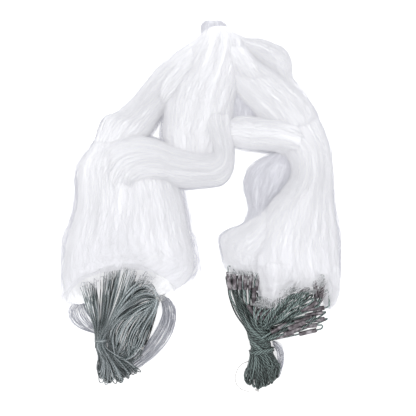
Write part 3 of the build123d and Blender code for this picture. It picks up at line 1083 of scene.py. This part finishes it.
# ---- tangles of mesh and twine

CURL = 3.2                  # mm from point to point of a tangle
mesh_grey = rope_material(
    "mesh_grey", (0.12, 0.14, 0.14), (0.62, 0.64, 0.66), (0.97, 0.97, 0.98), 300.0
)


def tangle(name, centre, half, metres, body, seed):
    """Twine run in small curls through an oval space, as the netting's edge is hung on its line."""
    spread = np.random.default_rng(seed)
    steps = int(metres * 1000 / CURL)
    t = np.linspace(0, 1, steps)
    place = np.zeros((steps, 3))
    for k in range(3):
        for wave in range(1, 9):
            angle = 2 * np.pi * (steps / CURL / wave) * t + spread.uniform(0, ROUND)
            place[:, k] += np.sin(angle) * spread.uniform(0.1, 0.5)
    place = place / (np.abs(place).max(axis=0) + 1e-9)
    points = (np.array(centre) + place * np.array(half)) / 1000
    line = nurbs_line(off_floor(points, MESH_TWINE_DIAMETER), resolution=2)
    add_line(
        name, line, MESH_TWINE_DIAMETER, mesh_grey, body,
        sides=TANGLE_SIDES,
    )


for name, body, seed, ovals in (
    ("mesh_tangle", LEAD, 40, [
        ((84, -137, 34), (37, 6, 6), 0.9), ((124, -196, 48), (24, 13, 7), 1.3),
        ((240, -153, 44), (13, 15, 7), 0.9), ((178, -171, 52), (30, 9, 6), 0.8),
        ((216, -173, 52), (20, 8, 6), 0.6),
    ]),
    ("edge_tangle", HEAD, 60, [
        ((-158, -124, 26), (34, 10, 4), 0.5), ((-108, -148, 27), (28, 13, 4), 0.45),
        ((-80, -187, 20), (12, 10, 6), 0.5),
    ]),
):
    for number, (centre, half, metres) in enumerate(ovals):
        tangle(f"{name}_{number + 1}", centre, half, metres, body, seed + number)


def fringe(name, edge, towards, count, reach, body, seed):
    """Meshes that hang past the netting's edge and lie over the hank's first bights."""
    spread = np.random.default_rng(seed)
    lines = []
    for _ in range(count):
        foot = polyline_at(edge, spread.random())
        run = np.array(towards) - foot[:2]
        run = run / np.linalg.norm(run)
        side = np.array([-run[1], run[0]])
        far = reach * spread.random() ** 1.6
        t = np.linspace(0, 1, 14)
        sway = spread.normal(0, 3.0) * np.sin(math.pi * t) + spread.normal(0, 3.5) * t
        along = -16 + (far + 16) * t
        place = foot[None, :2] + run * along[:, None] + side * sway[:, None]
        high = foot[2] + spread.uniform(0, 2.5) + 2.5 * np.sin(math.pi * t)
        high = high - 5 * t * spread.random()
        lines.append(np.column_stack([place, high]))
    piece = tubes(name, np.array(lines) / 1000, FRINGE_RADIUS, STRAND_SIDES, filament["bright"])
    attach(piece, body)


fringe(
    "headline_fringe",
    [
        (-272, -198, 16), (-240, -162, 27), (-209, -150, 29), (-180, -128, 30), (-157, -116, 30),
        (-132, -134, 30), (-107, -144, 29), (-84, -162, 28), (-62, -176, 24),
    ],
    NECK, 900, 30, HEAD, 81,
)
fringe(
    "lead_line_fringe",
    [
        (50, -132, 38), (84, -134, 40), (118, -142, 48), (126, -184, 52), (142, -198, 52),
        (160, -182, 54), (186, -162, 56), (214, -160, 56), (238, -150, 48), (250, -176, 40),
        (252, -206, 22),
    ],
    LEAD_NECK, 520, 18, LEAD, 82,
)


# ---- loose thread, sinkers

THREAD_LOWEST = 0.0007      # its middle, pressed to the table
thread = nurbs_line(np.array([
    (96.1, -318, 0.9), (89, -321, 0.7), (82, -324, 0.7), (76, -331, 0.7), (72, -338, 0.7),
    (68, -354, 0.7), (73, -369, 0.7), (85, -378, 0.7), (99, -381, 0.7),
]) / 1000, resolution=8)
thread[:, 2] = np.maximum(thread[:, 2], THREAD_LOWEST)
thread_grey = rope_material(
    "thread_grey", (0.28, 0.26, 0.24), (0.46, 0.44, 0.41), (0.62, 0.60, 0.57), 240.0
)
add_line(
    "loose_thread_line", thread, THREAD_DIAMETER, thread_grey, "lead_tail",
    ["loose_thread"],
)

lead = lead_material()
for name, node in NODES.items():
    if name.startswith("sinker_"):
        node.data.materials.clear()
        node.data.materials.append(lead)
        faces = node.data.polygons
        faces.foreach_set("use_smooth", np.full(len(faces), True))


# ---- table, light and camera

def table():
    """The plain white surface that the net lies on."""
    n = Nodes("table")
    grain = n.noise((3.0, 3.0, 3.0), kind="Object", detail=3.0)
    colour = n.ramp(grain, [(0.3, (0.93, 0.93, 0.93)), (0.7, (0.96, 0.96, 0.96))])
    n.link(colour, n.shader.inputs["Base Color"])
    n.link(colour, n.shader.inputs["Emission Color"])
    n.set(Roughness=0.9, Emission_Strength=0.55)
    n.bump(grain, 0.02, 0.001)
    mesh = bpy.data.meshes.new("table")
    mesh.from_pydata([(-6, -6, 0), (6, -6, 0), (6, 6, 0), (-6, 6, 0)], [], [(0, 1, 2, 3)])
    mesh.materials.append(n.material)
    piece = bpy.data.objects.new("table", mesh)
    bpy.context.scene.collection.objects.link(piece)
    return piece


def soft_light(name, place, size, watts):
    """A rectangular light that shines at the origin."""
    data = bpy.data.lights.new(name, "AREA")
    data.shape = "RECTANGLE"
    data.size, data.size_y = size
    data.energy = watts
    piece = bpy.data.objects.new(name, data)
    piece.location = place
    piece.rotation_euler = (-Vector(place)).to_track_quat("-Z", "Y").to_euler()
    bpy.context.scene.collection.objects.link(piece)
    return piece


world = bpy.data.worlds.new("studio")
world.use_nodes = True
background = world.node_tree.nodes["Background"].inputs
background["Color"].default_value = (0.97, 0.98, 1.0, 1)
background["Strength"].default_value = 0.92
bpy.context.scene.world = world
table()
soft_light("overhead", (-0.5, 0.9, 2.6), (2.4, 2.0), 16)
soft_light("side", (1.9, -0.9, 1.7), (1.6, 1.6), 5)

lens = bpy.data.cameras.new("camera")
lens.lens = 85
lens.sensor_width = 36
camera = bpy.data.objects.new("camera", lens)
camera.location = (0.014, -0.0075, 1.994)
bpy.context.scene.collection.objects.link(camera)
bpy.context.scene.camera = camera
bpy.context.scene.view_settings.view_transform = "Standard"
